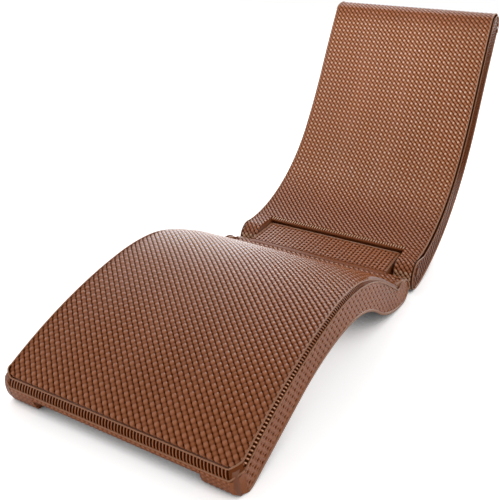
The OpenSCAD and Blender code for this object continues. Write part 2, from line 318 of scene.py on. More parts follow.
def diagonal_weave(u, v):
    """The deck's weave at 45 degrees to the length, with a line cut between the leading strands."""
    u, v = u / LATTICE_LONG, v / LATTICE_WIDE
    beside = u - v - np.floor(u - v) - 0.5
    return plain_weave(u - v, u + v) - LINE_CUT * np.abs(2 * beside) ** LINE_SHARP


SIDE_CELL, SIDE_TOP = 10.0, 0.3
PIT_DEPTH, PIT_LONG_R, PIT_HIGH_R = 2.0, 4.2, 3.4
FAINT_DEPTH, FAINT_LONG_R, FAINT_HIGH_R = 1.3, 3.2, 2.6


def soft_pit(a, b, long_r, high_r):
    """One at the middle of a pit and near zero beside it; a and b count the pits' slanted lattice."""
    fa, fb = a - np.round(a), b - np.round(b)
    along, up = SIDE_CELL * (fa + 2 * fb), SIDE_CELL * (fa - 2 * fb)
    return np.exp(-(along / long_r) ** 2 - (up / high_r) ** 2)


def side_weave(x, z):
    """The side walls' relief, level with the floor: rows of pits, with fainter ones halfway between."""
    a, b = (x + z) / (2 * SIDE_CELL), (x - z) / (4 * SIDE_CELL)
    pit = PIT_DEPTH * soft_pit(a, b, PIT_LONG_R, PIT_HIGH_R)
    faint = FAINT_DEPTH * soft_pit(a, b + 0.5, FAINT_LONG_R, FAINT_HIGH_R)
    return SIDE_TOP - pit - faint


def ribs(phase, thick=0.56, tall=2.6):
    """Round-backed ribs with pits between; phase counts ribs."""
    away = np.abs(phase - np.floor(phase) - 0.5) * 2 / thick
    return tall * np.sqrt(np.clip(1 - away ** 2, 0, 1)) - tall / 2


def shade_of(height, low=WEAVE_SHADES[0], high=WEAVE_SHADES[1]):
    """Relief height as 0 to 1 for the colour."""
    return np.clip((height - low) / (high - low), 0, 1)


print("strands", LATTICE_LONG, "mm apart, grid step", round(STEP, 2))

# %% [markdown]
# Lines in space.
# The rims and walls need lines that are read at any distance along them, like the side view's chains.
# Plain points with straight runs between them are enough here, since the points lie close together.

# %% Lines


def across(points2, normals2, y):
    """Side-view points and normals carried across to y."""
    points = np.stack([points2[:, 0], y, points2[:, 1]], -1)
    normals = np.stack([normals2[:, 0], np.zeros_like(y), normals2[:, 1]], -1)
    return points, normals


def line_at(points2, y):
    """A side-view line put at y."""
    return np.stack([points2[:, 0], np.full(len(points2), y), points2[:, 1]], -1)


def disc_points(centre, radius, from_deg, to_deg, count):
    """Points of an arc in the side view."""
    turn = np.radians(np.linspace(from_deg, to_deg, count))
    return centre + radius * np.stack([np.cos(turn), np.sin(turn)], -1)


def unit(vectors):
    """The same directions at length one."""
    return vectors / np.linalg.norm(vectors, axis=-1, keepdims=True)


class Line:
    """A line through points, read at any distance along it."""

    def __init__(self, points):
        self.points = np.asarray(points, float)
        runs = np.linalg.norm(np.diff(self.points, axis=0), axis=1)
        self.along = np.concatenate([[0.0], np.cumsum(runs)])
        self.length = self.along[-1]

    def at(self, s, values=None):
        """The line's points at these distances, or other values that are given for its points."""
        values = self.points if values is None else values
        return np.stack([np.interp(s, self.along, column) for column in values.T], -1)


def rounded(points, rounds=3):
    """Cuts the corners of a line of given points until it is smooth."""
    points = np.asarray(points, float)
    for _ in range(rounds):
        near = points[:-1] * 0.75 + points[1:] * 0.25
        far = points[:-1] * 0.25 + points[1:] * 0.75
        middle = np.stack([near, far], 1).reshape(-1, points.shape[1])
        points = np.concatenate([points[:1], middle[1:-1], points[-1:]])
    return points

# %% [markdown]
# Skins.
# A skin is a fine grid that is bent round the side view's curve and lifted by the weave's height, so
# that the weave is real geometry. A displacement modifier could lift it as well, but a formula places
# each point exactly and lets neighbouring skins meet.

# %% Skin builder
TUCK = 2.5
ON_EDGE = 1e-4
WELD_MM = 0.01


def to_frame(points):
    """Millimetres from the foot end to metres in the shared frame."""
    return (points - [ORIGIN_X, 0, 0]) * MM


def as_piece(name, bm, material, body, node, slot="moulding"):
    """Turns a bmesh into a smooth-shaded piece that stands for a node and rides on a body."""
    mesh = bpy.data.meshes.new(name)
    bm.to_mesh(mesh)
    bm.free()
    mesh.polygons.foreach_set("use_smooth", [True] * len(mesh.polygons))
    mesh.materials.append(material)
    piece = bpy.data.objects.new(name, mesh)
    bpy.context.scene.collection.objects.link(piece)
    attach(piece, body)
    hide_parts(node)
    return piece


def read(mesh, group, key, width):
    """A mesh array as rows of numbers."""
    values = np.zeros(len(getattr(mesh, group)) * width)
    getattr(mesh, group).foreach_get(key, values)
    return values.reshape(-1, width)


def skin(name, size, place, owner, step=STEP, counts=None, drop=None, tuck=TUCK, join=None, weld=False,
         material=woven_hdpe):
    """A grid of size (u, v) in mm, bent by place(u, v), which gives points, normals, heights and shades.

    drop(u, v) is true where there is no skin. The edge is turned down by tuck, to hide under a bead, but
    not where another skin takes over, at the start (join=0) or the end (join=1) of u.
    """
    counts = counts or [max(2, round(length / step)) for length in size]
    bm = bmesh.new()
    bmesh.ops.create_grid(bm, x_segments=counts[0], y_segments=counts[1], size=0.5)
    if drop is not None:
        flat = np.array([v.co[:2] for v in bm.verts]) + 0.5
        gone = drop(flat[:, 0] * size[0], flat[:, 1] * size[1])
        bmesh.ops.delete(bm, geom=[v for v, g in zip(bm.verts, gone) if g], context="VERTS")
    if tuck:
        rim = [e for e in bm.edges if e.is_boundary]
        if join is not None:
            rim = [e for e in rim if any(abs(v.co.x + 0.5 - join) >= ON_EDGE for v in e.verts)]
        turned = bmesh.ops.extrude_edge_only(bm, edges=rim)["geom"]
        hem = [g for g in turned if isinstance(g, bmesh.types.BMVert)]
        bmesh.ops.translate(bm, vec=(0, 0, -1), verts=hem)
    piece = as_piece(name, bm, material, *owner)
    mesh = piece.data
    flat = read(mesh, "vertices", "co", 3)
    points, normals, heights, shades = place((flat[:, 0] + 0.5) * size[0], (flat[:, 1] + 0.5) * size[1])
    lift = np.where(flat[:, 2] < -0.5, heights - tuck, heights)
    mesh.vertices.foreach_set("co", to_frame(points + normals * lift[:, None]).ravel())
    shade = mesh.attributes.new("relief", "FLOAT", "POINT")
    shade.data.foreach_set("value", np.ascontiguousarray(shades, dtype=np.float32))
    mesh.update()
    starts = read(mesh, "polygons", "loop_start", 1).astype(int)[:, 0]
    first = read(mesh, "loops", "vertex_index", 1)[starts, 0].astype(int)
    if (read(mesh, "polygons", "normal", 3) * normals[first]).sum() < 0:
        mesh.flip_normals()
    if weld:
        bm = bmesh.new()
        bm.from_mesh(mesh)
        bmesh.ops.remove_doubles(bm, verts=bm.verts, dist=WELD_MM * MM)
        bmesh.ops.holes_fill(bm, edges=bm.edges)
        bm.to_mesh(mesh)
        bm.free()
    print(name, len(mesh.polygons), "faces")
    return piece

# %% [markdown]
# Beads and cores.
# A bead is a skin rolled into a tube, with its seam welded and its ends closed. A curve with a round
# bevel would look the same, but this way the bead's ends and its place on the rim come from one line. A
# core is a side outline carried across, as a solid, with its end edges bevelled where they show.

# %% Bead and core builders
TUBE_SIDES = 10
SOFTEN_SEGMENTS = 3


def tube(name, points, radius, up, owner):
    """A round bead along a line; up is roughly away from the moulding."""
    line = Line(points)
    tangent = unit(np.gradient(line.points, line.along, axis=0))
    side = unit(np.cross(tangent, np.broadcast_to(up, tangent.shape)))
    top = np.cross(side, tangent)

    def place(u, v):
        angle = (2 * math.pi * v)[:, None]
        radial = np.cos(angle) * line.at(u, top) + np.sin(angle) * line.at(u, side)
        return line.at(u), radial, np.full_like(u, radius), np.ones_like(u)

    counts = (max(4, round(line.length / BEAD_STEP)), TUBE_SIDES)
    return skin(name, (line.length, 1.0), place, owner, counts=counts, tuck=0, weld=True, material=bead_hdpe)


def prism(name, outline, from_y, to_y, owner, soften=0.0, material=smooth_hdpe):
    """A side-view outline carried across from one y to another, with softened ends."""
    bm = bmesh.new()
    outline = np.asarray(outline)
    bmesh.ops.create_circle(bm, segments=len(outline), radius=1.0, cap_ends=True)
    for vert, place in zip(bm.verts, to_frame(line_at(outline, from_y))):
        vert.co = place
    made = bmesh.ops.extrude_face_region(bm, geom=list(bm.faces))["geom"]
    far_end = [g for g in made if isinstance(g, bmesh.types.BMVert)]
    bmesh.ops.translate(bm, vec=(0, (to_y - from_y) * MM, 0), verts=far_end)
    bmesh.ops.recalc_face_normals(bm, faces=bm.faces)
    if soften:
        ends = [e for e in bm.edges
                if len(e.link_faces) == 2 and any(len(f.verts) > 4 for f in e.link_faces)]
        bmesh.ops.bevel(bm, geom=ends, offset=soften * MM, segments=SOFTEN_SEGMENTS, profile=0.5,
                        affect="EDGES", material=-1, clamp_overlap=True)
    piece = as_piece(name, bm, material, *owner)
    print(name, len(piece.data.polygons), "faces")
    return piece


LEG = ("leg_rest", "leg_shell")
BACK = ("back_rest", "back_shell")
SIDES = (("right", -1.0), ("left", 1.0))
UP = np.array([0.0, 0.0, 1.0])


def lower_y(side, inner, outer):
    """Where a strip between two distances from the middle starts, on one side."""
    return inner if side > 0 else -outer


# %% [markdown]
# The woven decks.
# Each moulding's top is one woven sheet from side bead to side bead. The leg rest's sheet runs from the
# front bead over the knee arch to the seat's trough. It is split at the knee, to keep each mesh light,
# and both parts read the same height, so that the weave runs on.

# %% Leg deck
BEAD_INSET = 3.0
DECK_EDGE = DECK_HALF - BEAD_INSET
DECK_SINK = 1.2
FRONT_STRANDS = 31
KNEE_S = FRONT_STRANDS * LATTICE_LONG
ROLL_FROM_S, ROLL_FULL_S = 600.0, 760.0
ROLL_W, ROLL_DEPTH = 45.0, 9.0


def edge_roll(s, y):
    """How far the deck's edge rolls down toward the trough."""
    along = np.clip((s - ROLL_FROM_S) / (ROLL_FULL_S - ROLL_FROM_S), 0, 1)
    beside = np.clip((np.abs(y) - (DECK_HALF - ROLL_W)) / ROLL_W, 0, 1)
    return ROLL_DEPTH * np.sin(along * math.pi / 2) ** 2 * beside ** 2


def leg_deck_place(start):
    """Places the leg rest's deck from a distance start along it."""
    def place(u, v):
        s, y = start + u, v - DECK_EDGE
        points, normals = across(*deck.at(s), y)
        height = diagonal_weave(s, y)
        return points, normals, height - DECK_SINK - edge_roll(s, y), shade_of(height)
    return place


def outside_corners(u, v):
    """True outside the rounded front corners of the leg rest's deck."""
    r = CORNER_R - BEAD_INSET
    ahead = np.maximum(r - u, 0)
    beside = np.maximum(np.abs(v - DECK_EDGE) - (DECK_EDGE - r), 0)
    return (np.hypot(ahead, beside) > r) & (ahead > 0) & (beside > 0)


skin("leg_deck_front", (KNEE_S - BEAD_INSET, 2 * DECK_EDGE), leg_deck_place(BEAD_INSET), LEG,
     drop=outside_corners, join=1)
skin("leg_deck_rear", (deck.length - KNEE_S, 2 * DECK_EDGE), leg_deck_place(KNEE_S), LEG, join=0)

# %% [markdown]
# The leg rest's rim.
# Below the deck's edge runs a steep band of short cross ribs, held between a thin bead at the deck and a
# second bead that is the widest line of the moulding. The band goes round the front and both sides, and
# its ribs fade out behind the knee. Each line of the rim is set out once: along a side, round a plan
# corner, across the front and back again.

# %% Rim lines
RIM_SAMPLES, CORNER_SAMPLES, TRIAL_SAMPLES = 160, 12, 200
FRONT_RIB, SIDE_RIB = 7.88, 8.6
FRONT_BEAD_AT, FRONT_BAND, FRONT_PROUD = 4.0, 23.0, 1.5
RIM_SINK, RIM_INSET, RIM_TAPER = 0.5, 2.0, 1.0
RIM_END_SHARE, TRIAL_SHARE = 0.845, 0.25
RIB_END_S, RIB_FADE = 640.0, 70.0


def rim_line(level):
    """Points from the left side's rear end round the front to the right's, rib counts and ribbed parts.

    Level 0 is the deck's edge and 1 the lower bead.
    """
    depth = level * RIM_STEP + RIM_SINK
    y_side = DECK_HALF - RIM_INSET + level * (RIM_OUT - RIM_TAPER)
    front2 = under.beside(FRONT_BEAD_AT + level * FRONT_BAND, FRONT_PROUD)
    r = CORNER_R - RIM_INSET
    trial = np.linspace(0, deck.length * TRIAL_SHARE, TRIAL_SAMPLES)
    start = np.interp(front2[0] + r, deck.beside(trial, -depth)[:, 0], trial)
    s = np.linspace(deck.length * RIM_END_SHARE, start, RIM_SAMPLES)
    side2 = deck.beside(s, -(depth + (1 - level) * edge_roll(s, y_side)))
    angle = np.linspace(math.pi / 2, 0, CORNER_SAMPLES)[1:-1]
    toward = 1 - angle / (math.pi / 2)
    corner = [front2[0] + r * (1 - np.cos(angle)), y_side - r + r * np.sin(angle),
              side2[-1, 1] + (front2[1] - side2[-1, 1]) * toward ** 2]
    y = np.linspace(y_side - r, 0, RIM_SAMPLES // 2)[:-1]
    front = np.stack([np.full(len(y), front2[0]), y, np.full(len(y), front2[1])], -1)
    half_line = np.concatenate([line_at(side2, y_side), np.stack(corner, -1), front])
    none = np.zeros(len(angle))
    counts = np.concatenate([s / SIDE_RIB, none, y / FRONT_RIB])
    ribbed = np.concatenate([np.clip((RIB_END_S - s) / RIB_FADE, 0, 1), none, np.ones(len(y))])
    middle = np.array([[front2[0], 0, front2[1]]])
    return (np.concatenate([half_line, middle, half_line[::-1] * [1, -1, 1]]),
            np.concatenate([counts, [0.0], counts[::-1]]), np.concatenate([ribbed, [1.0], ribbed[::-1]]))


edge_line, rib_counts, ribbed = rim_line(0.0)
bead_line = rim_line(1.0)[0]
print("rim samples", len(edge_line))

# %% [markdown]
# The ribs are the same relief on both rims. On the sides they lean a little, and near the foot their
# crowns carry a painted highlight. Where the band has no ribs it stays a plain, darker strip.

# %% Rim ribs and upper bead
RIB_SLANT, RIB_CROWN, RIB_TALL_SHARE = 1.6, 2.0, 0.5
BAND_SINK, BAND_ROWS = 0.4, 8
BAND_SHADES, PLAIN_BAND_SHADE = (-0.1, 1.7), 0.36
GLINT_TO_S, GLINT_FADE, GLINT_GAIN, GLINT_SHARP = 330.0, 120.0, 0.5, 4
UPPER_BEAD_R, UPPER_BEAD_RISE, UPPER_BEAD_DROP, CORNER_BEAD_RISE = 1.7, 0.9, 3.4, 1.0
SIDE_SLACK = 0.5

on_side = (np.abs(edge_line[:, 1]) > DECK_HALF - RIM_INSET - SIDE_SLACK).astype(float)
band = Line((edge_line + bead_line) / 2)
band_normals = unit(np.cross(np.gradient(band.points, axis=0), bead_line - edge_line))
if band_normals[len(band_normals) // 2, 0] > 0:
    band_normals = -band_normals
band_values = np.stack([rib_counts, ribbed, on_side], -1)


def band_place(u, v):
    """The rim's band of cross ribs; v runs from the deck's edge at 0 to the lower bead at 1."""
    points = band.at(u, edge_line) * (1 - v[:, None]) + band.at(u, bead_line) * v[:, None]
    count, weight, slant = band.at(u, band_values).T
    relief = ribs(count - RIB_SLANT * slant * v)
    crown = np.sin(math.pi * v)
    # Painted highlight: the colour of the rib crowns near the foot is brightened.
    near_foot = np.clip((GLINT_TO_S - count * SIDE_RIB) / GLINT_FADE, 0, 1)
    glint = GLINT_GAIN * slant * near_foot * crown ** GLINT_SHARP
    shade = shade_of(relief, *BAND_SHADES) * (1 + glint) * weight + PLAIN_BAND_SHADE * (1 - weight)
    height = (RIB_TALL_SHARE * relief + RIB_CROWN * crown) * weight - BAND_SINK
    return points, band.at(u, band_normals), height, shade


skin("leg_rim_ribs", (band.length, 1.0), band_place, LEG,
     counts=(round(band.length / LONG_RIB_STEP), BAND_ROWS), tuck=0)
at_corner = (ribbed == 0) & (rib_counts == 0)
bead_rise = np.where(at_corner, CORNER_BEAD_RISE, UPPER_BEAD_RISE - UPPER_BEAD_DROP * (1 - ribbed))
tube("leg_rim_upper_bead", edge_line + bead_rise[:, None] * UP, UPPER_BEAD_R, UP, LEG)

# %% [markdown]
# The leg rest's side walls.
# The wall hangs from the lower bead down to the underside. Its relief is a plain face with staggered
# pits, in rows that lie level with the floor. At the rear it runs out over a round knob, drawn here with
# a line of given points. The wall is ruled between its upper and lower edges, which is enough for a flat
# face.

# %% Leg sides
KNOB_LINE = ((889, 75.5), (893, 80), (902, 84.5), (918, 85), (936, 82), (957, 73), (975, 58), (984.5, 37))
KNOB_UNDER = ((930, 2.2), (953, 3.5), (975, 15), (984.5, 37))
WALL_INSET = 4.0
WALL_Y = HALF - WALL_INSET
WALL_STEP, WALL_ROWS, WALL_SINK = 1.45, 66, 0.3
BEAD_R = 2.0
LIP_R, LIP_INSET, LIP_RISE = 4.0, 1.4, 2.5
FOOT_SIDE_W, WALL_END_W, WALL_END_S, EDGE_SAMPLES = 97.0, 1056.0, 960.0, 240
SIDE_PAIRS = ((0, 0), (0.44, 0.435), (0.887, 0.865), (1, 1))
# The back rest's walls map their relief to darker colours than the leg rest's: painted shade.
LEG_SIDE_SHADES, BACK_WALL_PAINTED_SHADES = (-2.2, 1.75), (-0.9, 2.2)


def ruled_side(name, top, low, pairs, owner, side, shades):
    """A side wall between two side-view lines; pairs match shares of the two lines' lengths."""
    pairs = np.asarray(pairs, float)

    def place(u, v):
        upper = top.at(u)
        lower = low.at(np.interp(u / top.length, pairs[:, 0], pairs[:, 1]) * low.length)
        down = v[:, None]
        points2 = upper * (1 - down) + lower * down
        height = side_weave(points2[:, 0], points2[:, 1])
        normals = np.tile([0.0, side, 0.0], (len(u), 1))
        return line_at(points2, side * WALL_Y), normals, height - WALL_SINK, shade_of(height, *shades)

    counts = (round(top.length / WALL_STEP), WALL_ROWS)
    return skin(name, (top.length, 1.0), place, owner, counts=counts, tuck=0)


bead_start = bead_line[RIM_SAMPLES - 1]
below_rim = deck.beside(np.linspace(0, WALL_END_S, EDGE_SAMPLES), -(RIM_STEP + RIM_SINK))
below_rim = below_rim[below_rim[:, 0] >= bead_start[0]]
leg_top = Line(np.concatenate([below_rim, rounded(np.concatenate([below_rim[-1:], KNOB_LINE]))[1:]]))
foot_under = under.at(np.linspace(FOOT_SIDE_W, WALL_END_W, EDGE_SAMPLES))[0]
leg_low = Line(np.concatenate([foot_under, rounded(np.concatenate([foot_under[-1:], KNOB_UNDER]))[1:]]))

for side_name, side in SIDES:
    away = np.array([0.0, side, 0.0])
    ruled_side("leg_side_" + side_name, leg_top, leg_low, SIDE_PAIRS, LEG, side, LEG_SIDE_SHADES)
    tube("leg_side_bead_" + side_name, line_at(leg_top.points, side * (HALF - BEAD_R)), BEAD_R, away, LEG)
    lip = line_at(leg_low.points + [0, LIP_RISE], side * (HALF - LIP_R - LIP_INSET))
    tube("leg_side_lip_" + side_name, lip, LIP_R, away, LEG)
tube("leg_front_bead", bead_line[RIM_SAMPLES - 1:1 - RIM_SAMPLES], BEAD_R, UP, LEG)

# %% [markdown]
# The foot end.
# Under the front bead the face slopes back to the foot. It has a finer diagonal weave. In the middle the
# edge is raised between two foot bulges, and each lower corner is plain but for nested arc ribs.

# %% Foot end
FACE_FROM_W, FACE_TO_W, FACE_SAMPLES = FRONT_BEAD_AT + FRONT_BAND, 80.0, 60
FACE_HALF = abs(bead_line[RIM_SAMPLES + CORNER_SAMPLES - 2][1])
FACE_CELL, FACE_RISE, FACE_ROUND = 12.0, 0.9, 1.5
FACE_SINK, FACE_TUCK = 1.2, 3.0
ARC_GAP, ARC_TALL, ARC_SINK, ARC_SHADES = 4.6, 0.6, 0.3, (-1.4, 1.0)
ARC_W, ARC_H, ARC_FROM, ARC_FADE = 34.0, 58.0, 14.0, 10.0
CORNER_CELLS = (24, 48)
gap_half = HALF - FOOT_W
gap_top = PAD_PROUD + FOOT_GAP_H
face_w = np.linspace(FACE_FROM_W, FACE_TO_W, FACE_SAMPLES)
gap_w = np.interp(-gap_top, -under.at(face_w)[0][:, 1], face_w)


def face_place(from_y):
    """Places a piece of the front face below the bead, from one y."""
    def place(u, v):
        points2, normals2 = under.at(FACE_FROM_W + u)
        points, normals = across(points2, -normals2, from_y + v)
        height = plain_weave((u + v) / FACE_CELL, (u - v) / FACE_CELL, rise=FACE_RISE, crown=FACE_ROUND)
        return points, normals, height - FACE_SINK, shade_of(height)
    return place


def corner_place(side):
    """Round a lower corner: u from the front at 0 to the side at 1, v down from the bead."""
    def place(u, v):
        front2 = under.at(FACE_FROM_W + v * (FACE_TO_W - FACE_FROM_W))[0]
        side2 = leg_top.points[0] * (1 - v[:, None]) + leg_low.points[0] * v[:, None]
        angle = u * math.pi / 2
        mix = (1 - np.cos(angle))[:, None]
        points2 = front2 * (1 - mix) + side2 * mix
        y = side * (FACE_HALF + (WALL_Y - FACE_HALF) * np.sin(angle))
        points = np.stack([points2[:, 0], y, points2[:, 1]], -1)
        normals = np.stack([-np.cos(angle), side * np.sin(angle), np.zeros_like(u)], -1)
        reach = np.hypot((u - 0.5) * ARC_W, v * ARC_H)
        arcs = ARC_TALL * np.cos(reach / ARC_GAP * 2 * math.pi) * np.clip((reach - ARC_FROM) / ARC_FADE, 0, 1)
        return points, normals, arcs - ARC_SINK, shade_of(arcs, *ARC_SHADES)
    return place


skin("leg_front_face", (gap_w - FACE_FROM_W, 2 * gap_half), face_place(-gap_half), LEG, tuck=FACE_TUCK)
for side_name, side in SIDES:
    skin("leg_foot_face_" + side_name, (FACE_TO_W - FACE_FROM_W, FACE_HALF - gap_half),
         face_place(lower_y(side, gap_half, FACE_HALF)), LEG, tuck=FACE_TUCK)
    skin("leg_foot_corner_" + side_name, (1.0, 1.0), corner_place(side), LEG, counts=CORNER_CELLS, tuck=0)

# %% [markdown]
# The leg rest's core.
# Behind the skins stands a plain core, which also gives the underside. The real underside may be woven
# too, but the photograph doesn't show it. The core has three parts across: the middle, raised over the
# foot gap, and one on each side that stands on its foot bulge.

# %% Leg core
CORE_SINK = 4.2
CORE_HALF = 297.0
CORE_FROM_S, CORE_FROM_W = 5.0, 6.0
FOOT_LIFT, FOOT_LIFT_W, FOOT_FLUSH_W = 3.0, 60.0, 95.0
FOOT_END_SHARE = 0.15
REAR_SINK = 3.0
CORE_TOP_SAMPLES, CORE_LOW_SAMPLES, ROUND_SAMPLES = 70, 110, 20
REAR_ROUND_DEG = (85, -90)


def leg_outline(raised):
    """Side outline of the core; raised lifts the foot gap."""
    top = deck.beside(np.linspace(CORE_FROM_S, deck.length, CORE_TOP_SAMPLES), -CORE_SINK)
    w = np.linspace(CORE_FROM_W, under.length, CORE_LOW_SAMPLES)
    low = under.beside(w, np.interp(w, [FOOT_LIFT_W, FOOT_FLUSH_W], [FOOT_LIFT, 0.0]))
    if raised:
        in_foot = low[:, 0] < FOOT_END_SHARE * LEG_L
        low[:, 1] = np.where(in_foot, np.maximum(low[:, 1], gap_top), low[:, 1])
    rear = disc_points((deck.end + under.end) / 2, rear_r - REAR_SINK, *REAR_ROUND_DEG, ROUND_SAMPLES)
    return np.concatenate([top, rear, low[::-1]])


prism("leg_core_middle", leg_outline(True), -gap_half, gap_half, LEG)
for side_name, side in SIDES:
    prism("leg_foot_core_" + side_name, leg_outline(False), side * gap_half, side * CORE_HALF, LEG)

# %% [markdown]
# The seat.
# Behind the trough the weave stops at a smooth crest strip. Then comes the seat tongue, a separate panel
# between the two ears, with its strands along and across: bright dashes in lengthwise columns, each
# column half a dash behind the next. A thin bead edges it at the rear and at both sides.

# %% Seat tongue
CREST_L, CREST_TALL, CREST_SINK = 20.0, 0.5, 0.1
TONGUE_COLUMN, TONGUE_DASH = 12.4, 8.4
TONGUE_TOP, TONGUE_PIT, TONGUE_WAVE, SEAT_SINK = 1.2, 3.4, 0.35, 0.6
PIT_W_SHARE, PIT_FLOOR, DASH_SHARP = 0.2, 0.25, 2.5
TONGUE_SKIN_T, TONGUE_REAR_GAP, TONGUE_STEP = 1.0, 4.0, 1.5
PANEL_INSET = 5.0
PANEL_HALF = TONGUE_HALF - PANEL_INSET
SEAT_REAR_BEAD_R, SEAT_SIDE_BEAD_R, SEAT_SIDE_BEAD_INSETS = 2.6, 1.5, (1.6, 4.6)
REAR_BEAD_BACK, REAR_BEAD_DROP, SIDE_BEAD_DROP, SEAT_BEAD_SAMPLES = 2.0, 0.6, 0.4, 20
REAR_BEAD_SAMPLES = 30
TONGUE_CORE_SINK, TONGUE_NECK_SINK, TONGUE_NECK_L, TONGUE_SOFTEN = 2.5, 3.0, 4.0, 1.0
TONGUE_TURN_SHORT, TONGUE_ROUND_SAMPLES = 4.0, 24
CREST_CELLS, CREST_TUCK = (8, 60), 2.0
tongue_tip = disc_points(axis, tongue_r - TONGUE_SKIN_T, TONGUE_EDGE, TONGUE_EDGE, 1)[0]
seat = Line([deck.end, tongue_tip])
seat_slope = (tongue_tip - deck.end) / seat.length
seat_normal = np.array([-seat_slope[1], seat_slope[0]])
seat_up = np.array([seat_normal[0], 0.0, seat_normal[1]])


def seat_place(start, half_w, relief):
    """A flat seat piece from a distance behind the trough."""
    def place(u, v):
        s, y = start + u, v - half_w
        points, normals = across(seat.at(s), np.tile(seat_normal, (len(u), 1)), y)
        height = relief(u, y)
        return points, normals, height - SEAT_SINK, shade_of(height)
    return place


def crest_relief(u, y):
    """A low round strip, the same at every y."""
    return CREST_TALL * np.sin(np.clip(u / CREST_L, 0, 1) * math.pi) - CREST_SINK


def tongue_relief(u, y):
    """Lengthwise strands; between two of them lies a row of dash-shaped pits, staggered from row to row."""
    row = np.round(y / TONGUE_COLUMN)
    beside = (y - row * TONGUE_COLUMN) / TONGUE_COLUMN
    dash = 0.5 + 0.5 * np.tanh(DASH_SHARP * np.cos(math.pi * (u / TONGUE_DASH + row)))
    pit = np.exp(-(beside / PIT_W_SHARE) ** 2) * (PIT_FLOOR + (1 - PIT_FLOOR) * dash)
    return TONGUE_TOP - TONGUE_PIT * pit + TONGUE_WAVE * np.cos(math.pi * u / TONGUE_DASH)


skin("leg_crest_strip", (CREST_L, 2 * TONGUE_HALF), seat_place(0.0, TONGUE_HALF, crest_relief), LEG,
     counts=CREST_CELLS, tuck=CREST_TUCK)
skin("tongue_panel", (seat.length - CREST_L - TONGUE_REAR_GAP, 2 * PANEL_HALF),
     seat_place(CREST_L, PANEL_HALF, tongue_relief), LEG, step=TONGUE_STEP)
rear_x, rear_z = tongue_tip - [REAR_BEAD_BACK, REAR_BEAD_DROP]
rear_bead = [[rear_x, y, rear_z] for y in np.linspace(-PANEL_HALF, PANEL_HALF, REAR_BEAD_SAMPLES)]
tube("tongue_rear_bead", rear_bead, SEAT_REAR_BEAD_R, seat_up, LEG)
seat_run = seat.at(np.linspace(CREST_L, seat.length - REAR_BEAD_BACK, SEAT_BEAD_SAMPLES))
seat_run = seat_run - [0, SIDE_BEAD_DROP]
for side_name, side in SIDES:
    for k, inset in enumerate(SEAT_SIDE_BEAD_INSETS):
        line = line_at(seat_run, side * (TONGUE_HALF - inset))
        tube(f"tongue_side_bead_{side_name}_{k}", line, SEAT_SIDE_BEAD_R, seat_up, LEG)

tongue_start = under.end[0] - rear_r / 2
under_panel = np.concatenate([seat.at([TONGUE_NECK_L]), [tongue_tip]]) - [0, TONGUE_CORE_SINK]
tongue_round = disc_points(axis, tongue_r - TONGUE_SKIN_T, TONGUE_EDGE - TONGUE_TURN_SHORT, -90,
                           TONGUE_ROUND_SAMPLES)
tongue_neck = [[tongue_start, axis[1] - tongue_r], [tongue_start, deck.end[1] - TONGUE_NECK_SINK]]
prism("tongue_core", np.concatenate([tongue_neck, under_panel, tongue_round]), -TONGUE_HALF, TONGUE_HALF,
      LEG, soften=TONGUE_SOFTEN)

# %% [markdown]
# The rear end and the knobs.
# Beside the tongue the woven deck runs down over the leg rest's rear end, in front of the ears. A smooth
# knob stands at each outer side: a prism with its edges bevelled, since the real one is plain.

# %% Rear end and knobs
KNOB_OVERLAP, KNOB_SOFTEN, KNOB_INSET = 1.0, 6.0, 1.0
KNOB_CORE = ((905, 6), (880, 40))
knob_inner = HALF - KNOB_W
rear_end = Path(deck.end, math.degrees(deck.headings[-1]), [(math.pi * rear_r, -180.0)])
rear_inner = TONGUE_HALF - KNOB_OVERLAP
rear_outer = knob_inner + KNOB_OVERLAP


def rear_place(from_y):
    """Carries the deck's weave on round the rear end, from one y."""
    def place(u, v):
        points, normals = across(*rear_end.at(u), from_y + v)
        height = diagonal_weave(deck.length + u, from_y + v)
        return points, normals, height - DECK_SINK, shade_of(height)
    return place


knob_outline = np.concatenate([rounded(KNOB_LINE, 2), rounded(KNOB_UNDER, 2)[::-1][1:], KNOB_CORE])
for side_name, side in SIDES:
    skin("leg_rear_end_" + side_name, (rear_end.length, rear_outer - rear_inner),
         rear_place(lower_y(side, rear_inner, rear_outer)), LEG)
    prism("leg_knob_" + side_name, knob_outline, side * knob_inner, side * (WALL_Y - KNOB_INSET), LEG,
          soften=KNOB_SOFTEN, material=bead_hdpe)

# %% [markdown]
# The back rest's deck.
# One woven sheet again, from the seat's notch up over the rolled head. Beside the notch the sheet runs
# down over the two ears and round their noses, where the humps are coarse and shiny, with a painted
# highlight.

# %% Back lines
HEAD_SPLIT, NOTCH_REACH = 4, 120
STRIP_L = 14.0
NOSE_TURN_DEG = 150.0
LOW_STRANDS = 32
back = Path(nose + [0, NOSE_R], BACK_HEADING, rows_of(BACK_SHARES, BACK_L))
rear = Path(nose - [0, NOSE_R], 0, rows_of(REAR_SHARES, BACK_L))
head_t = np.linalg.norm(back.end - rear.end)
head_rows = rows_of(HEAD_SHARES, head_t)
split_row = (head_rows[HEAD_SPLIT][0] / 2, head_rows[HEAD_SPLIT][1] / 2)
over_rows = head_rows[:HEAD_SPLIT] + [split_row]
behind_rows = [(run, -turn) for run, turn in head_rows[:HEAD_SPLIT:-1] + [split_row]]
face = Path(nose + [0, NOSE_R], BACK_HEADING, rows_of(BACK_SHARES, BACK_L) + over_rows)
rear_face = Path(nose - [0, NOSE_R], 0, rows_of(REAR_SHARES, BACK_L) + behind_rows)
notch_x = axis[0] + math.sqrt(notch_r ** 2 - (nose[1] + NOSE_R - axis[1]) ** 2)
near_s = np.arange(NOTCH_REACH)
notch_s = np.interp(notch_x, face.at(near_s)[0][:, 0], near_s)
deck_from = notch_s + STRIP_L
BACK_SPLIT_S = deck_from + LOW_STRANDS * LATTICE_LONG
